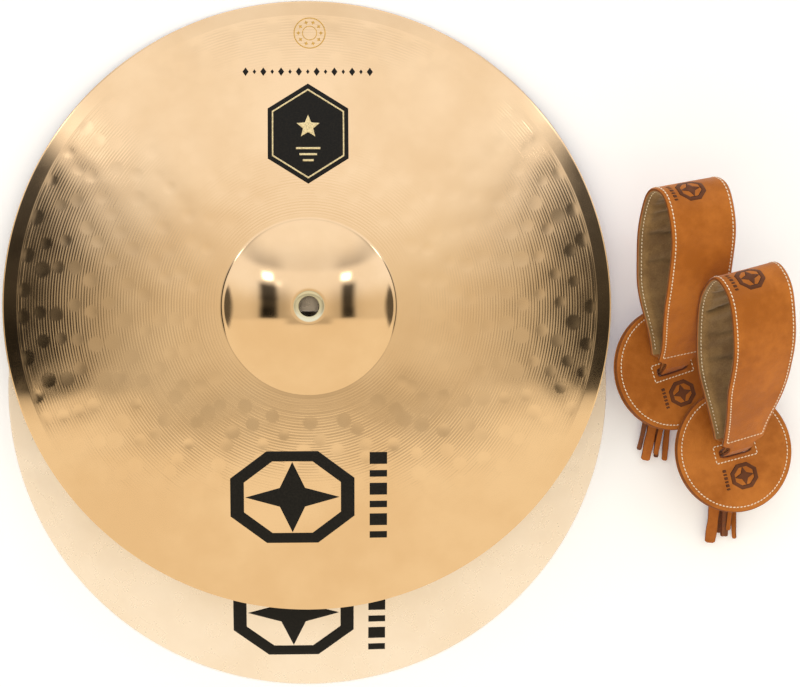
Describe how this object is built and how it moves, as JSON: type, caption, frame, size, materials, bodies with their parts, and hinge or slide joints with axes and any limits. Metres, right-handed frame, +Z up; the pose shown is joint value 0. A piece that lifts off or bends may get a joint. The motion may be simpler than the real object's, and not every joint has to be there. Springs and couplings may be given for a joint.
{
  "type": "hand cymbals",
  "caption": "Pair of bronze marching cymbals with bells and bored centres, laid out with two padded leather hand straps on round slotted pads.",
  "frame": {"origin": "middle of the bottom of the whole set's bounding box, on the table it lies on", "axes": "+Z up, +Y towards the folds of the hand loops, +X from the cymbals towards the straps"},
  "size_m": [0.598, 0.5244, 0.1137],
  "materials": {
    "cymbal_bronze": "hammered and lathed bell bronze, brilliant polish",
    "strap_leather": "vegetable-tanned leather, waxed, burnished edges",
    "back_leather": "vegetable-tanned leather, rough flesh side",
    "thong_leather": "slit leather, smooth grain one side, rough flesh other side",
    "suede_lining": "napped suede",
    "felt": "pressed wool felt",
    "grip_foam": "soft padding",
    "stitch_thread": "waxed cream thread"
  },
  "bodies": {
    "lower_cymbal": {"lower_cymbal": "cymbal_bronze"},
    "upper_cymbal": {"upper_cymbal": "cymbal_bronze"},
    "left_pad": {"left_pad_back": "back_leather", "left_pad_felt": "felt", "left_pad_face": "strap_leather", "left_pad_edge_thread": "stitch_thread", "left_pad_slot_thread": "stitch_thread", "left_strap_end_far": "strap_leather", "left_strap_end_near": "strap_leather"},
    "left_grip": {"left_grip_leather": "strap_leather", "left_grip_padding": "grip_foam", "left_grip_lining": "suede_lining", "left_grip_thread": "stitch_thread"},
    "left_front_thongs": {"left_front_thong_1": "thong_leather", "left_front_thong_2": "thong_leather", "left_front_thong_3": "thong_leather"},
    "left_back_thongs": {"left_back_thong_1": "thong_leather", "left_back_thong_2": "thong_leather", "left_back_thong_3": "thong_leather"},
    "right_pad": {"right_pad_back": "back_leather", "right_pad_felt": "felt", "right_pad_face": "strap_leather", "right_pad_edge_thread": "stitch_thread", "right_pad_slot_thread": "stitch_thread", "right_strap_end_far": "strap_leather", "right_strap_end_near": "strap_leather"},
    "right_grip": {"right_grip_leather": "strap_leather", "right_grip_padding": "grip_foam", "right_grip_lining": "suede_lining", "right_grip_thread": "stitch_thread"},
    "right_front_thongs": {"right_front_thong_1": "thong_leather", "right_front_thong_2": "thong_leather", "right_front_thong_3": "thong_leather"},
    "right_back_thongs": {"right_back_thong_1": "thong_leather", "right_back_thong_2": "thong_leather", "right_back_thong_3": "thong_leather"}
  },
  "joints": [
    {"name": "upper_cymbal_lift", "type": "slide", "parent": "lower_cymbal", "child": "upper_cymbal", "axis": [0, 0, 1], "range_m": [0, 0.15]},
    {"name": "left_strap_draw", "type": "slide", "parent": "lower_cymbal", "child": "left_pad", "axis": [-0.1908, 0.9816, 0], "range_m": [0, 0.2]},
    {"name": "right_strap_lift", "type": "slide", "parent": "lower_cymbal", "child": "right_pad", "axis": [0, 0, 1], "range_m": [0, 0.15]},
    {"name": "right_grip_fold", "type": "hinge", "parent": "right_pad", "child": "right_grip", "pos_m": [0.25427, -0.07699, 0.034], "axis": [0.9543, 0.1966, -0.2253], "range_deg": [0, 95]},
    {"name": "right_front_thongs_swing", "type": "hinge", "parent": "right_pad", "child": "right_front_thongs", "pos_m": [0.25187, -0.07727, 0.005], "axis": [0, 0, 1], "range_deg": [-22, 10]},
    {"name": "right_back_thongs_swing", "type": "hinge", "parent": "right_pad", "child": "right_back_thongs", "pos_m": [0.25187, -0.07727, 0.005], "axis": [0, 0, 1], "range_deg": [-10, 22]},
    {"name": "left_grip_fold", "type": "hinge", "parent": "left_pad", "child": "left_grip", "pos_m": [0.20667, -0.01459, 0.0253], "axis": [0.9129, 0.2425, -0.3282], "range_deg": [0, 95]},
    {"name": "left_front_thongs_swing", "type": "hinge", "parent": "left_pad", "child": "left_front_thongs", "pos_m": [0.20361, -0.0148, 0.005], "axis": [0, 0, 1], "range_deg": [-22, 10]},
    {"name": "left_back_thongs_swing", "type": "hinge", "parent": "left_pad", "child": "left_back_thongs", "pos_m": [0.20361, -0.0148, 0.005], "axis": [0, 0, 1], "range_deg": [-10, 22]}
  ],
  "couplings": [
    {"joint": "left_grip_fold", "follows": "right_grip_fold", "ratio": 1}
  ]
}
